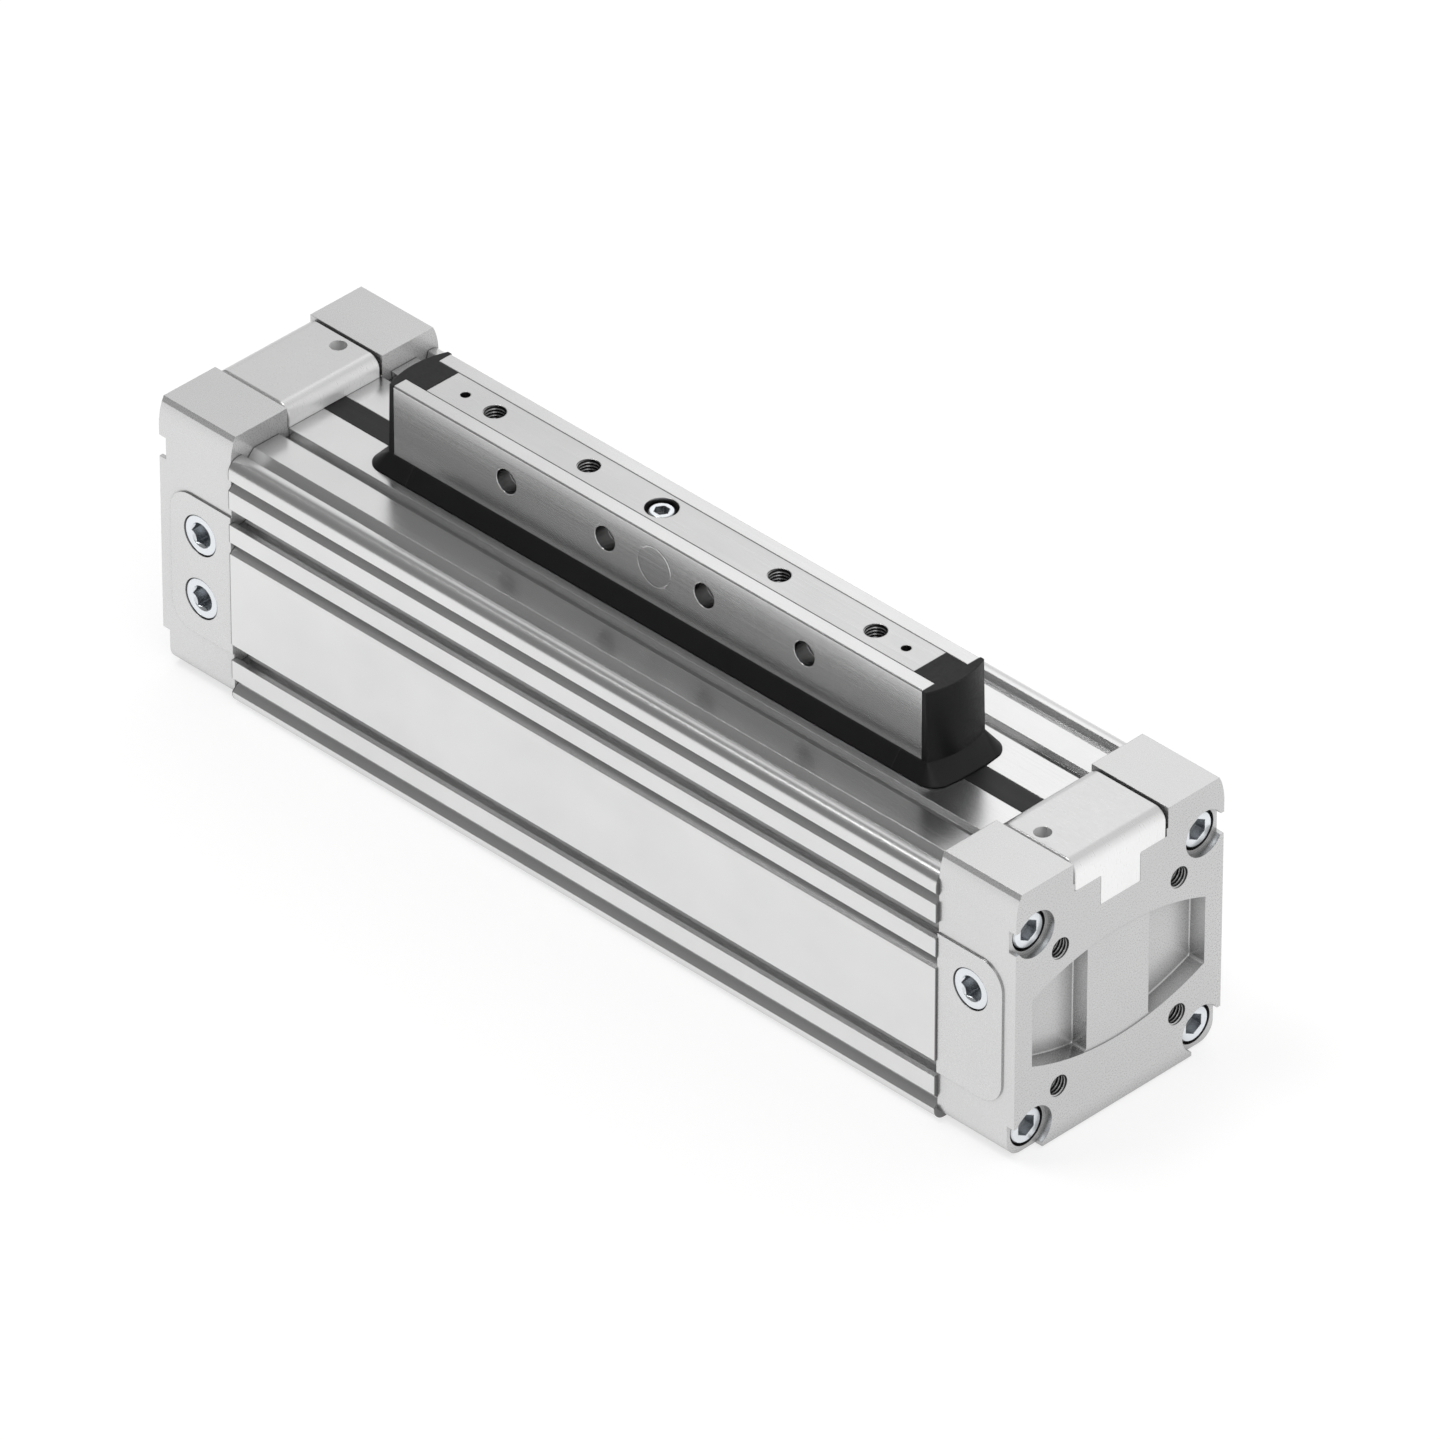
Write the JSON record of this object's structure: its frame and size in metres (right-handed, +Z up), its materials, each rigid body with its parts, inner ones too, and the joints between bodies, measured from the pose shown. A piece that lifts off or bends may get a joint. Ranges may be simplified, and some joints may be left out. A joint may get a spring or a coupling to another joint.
{
  "type": "rodless pneumatic cylinder",
  "caption": "Rodless pneumatic cylinder: slotted aluminium barrel with sealing bands, inner piston pair and narrow outer slide, end caps with plugged ports and adjustable cushioning",
  "frame": {"origin": "middle of the bounding box at the height of the barrel's underside", "axes": "+X along the stroke, +Y away from the plugged port side, +Z up through the slide"},
  "size_m": [0.2486, 0.0616, 0.0824],
  "materials": {
    "barrel_aluminium": "anodised extrusion, smooth, silver",
    "cap_aluminium": "die-cast and machined, matt silver",
    "clamp_aluminium": "satin silver",
    "slide_aluminium": "milled and anodised",
    "plate_aluminium": "drawn bar, semi-gloss",
    "turned_aluminium": "turned",
    "zinc_steel": "bright zinc plated",
    "pin_steel": "ground",
    "needle_brass": "turned",
    "magnet_iron": "sintered, dark",
    "band_plastic": "smooth black band",
    "band_steel": "thin spring strip",
    "guide_plastic": "low-friction plastic",
    "wiper_rubber": "black moulded, semi-matt",
    "seal_rubber": "black"
  },
  "bodies": {
    "barrel": {"barrel_profile": "barrel_aluminium", "cover_band": "band_plastic", "inner_seal_band": "band_steel", "left_end_cap": "cap_aluminium", "right_end_cap": "cap_aluminium", "left_port_plug_upper": "zinc_steel", "left_port_plug_lower": "zinc_steel", "right_port_plug": "zinc_steel", "left_duct_seal": "seal_rubber", "right_duct_seal": "seal_rubber", "left_band_clamp": "clamp_aluminium", "left_cap_screws": "zinc_steel", "left_cap_seal": "seal_rubber", "left_buffer": "seal_rubber", "left_cushion_spigot": "turned_aluminium", "right_band_clamp": "clamp_aluminium", "right_cap_screws": "zinc_steel", "right_cap_seal": "seal_rubber", "right_buffer": "seal_rubber", "right_cushion_spigot": "turned_aluminium"},
    "carriage": {"piston_yoke": "turned_aluminium", "slide_core": "slide_aluminium", "slide_front_plate": "plate_aluminium", "slide_rear_plate": "plate_aluminium", "front_skirt": "wiper_rubber", "rear_skirt": "wiper_rubber", "cross_pin": "pin_steel", "pin_lock_screw": "zinc_steel", "driver_dowels": "pin_steel", "left_piston": "turned_aluminium", "left_piston_seal": "seal_rubber", "left_guide_ring": "guide_plastic", "left_magnet": "magnet_iron", "left_cushion_seal": "seal_rubber", "left_piston_bolt": "zinc_steel", "left_guide_screw": "zinc_steel", "left_band_guide": "guide_plastic", "left_wiper": "wiper_rubber", "right_piston": "turned_aluminium", "right_piston_seal": "seal_rubber", "right_guide_ring": "guide_plastic", "right_magnet": "magnet_iron", "right_cushion_seal": "seal_rubber", "right_piston_bolt": "zinc_steel", "right_guide_screw": "zinc_steel", "right_band_guide": "guide_plastic", "right_wiper": "wiper_rubber"},
    "left_needle": {"left_cushion_screw": "needle_brass"},
    "right_needle": {"right_cushion_screw": "needle_brass"}
  },
  "joints": [
    {"name": "carriage_travel", "type": "slide", "parent": "barrel", "child": "carriage", "axis": [1, 0, 0], "range_m": [-0.015, 0.015]},
    {"name": "left_needle_turn", "type": "hinge", "parent": "barrel", "child": "left_needle", "pos_m": [-0.1121, 0.01, 0.05], "axis": [0, 0, 1], "range_deg": [-720, 720]},
    {"name": "right_needle_turn", "type": "hinge", "parent": "barrel", "child": "right_needle", "pos_m": [0.1121, -0.01, 0.05], "axis": [0, 0, 1], "range_deg": [-720, 720]}
  ]
}
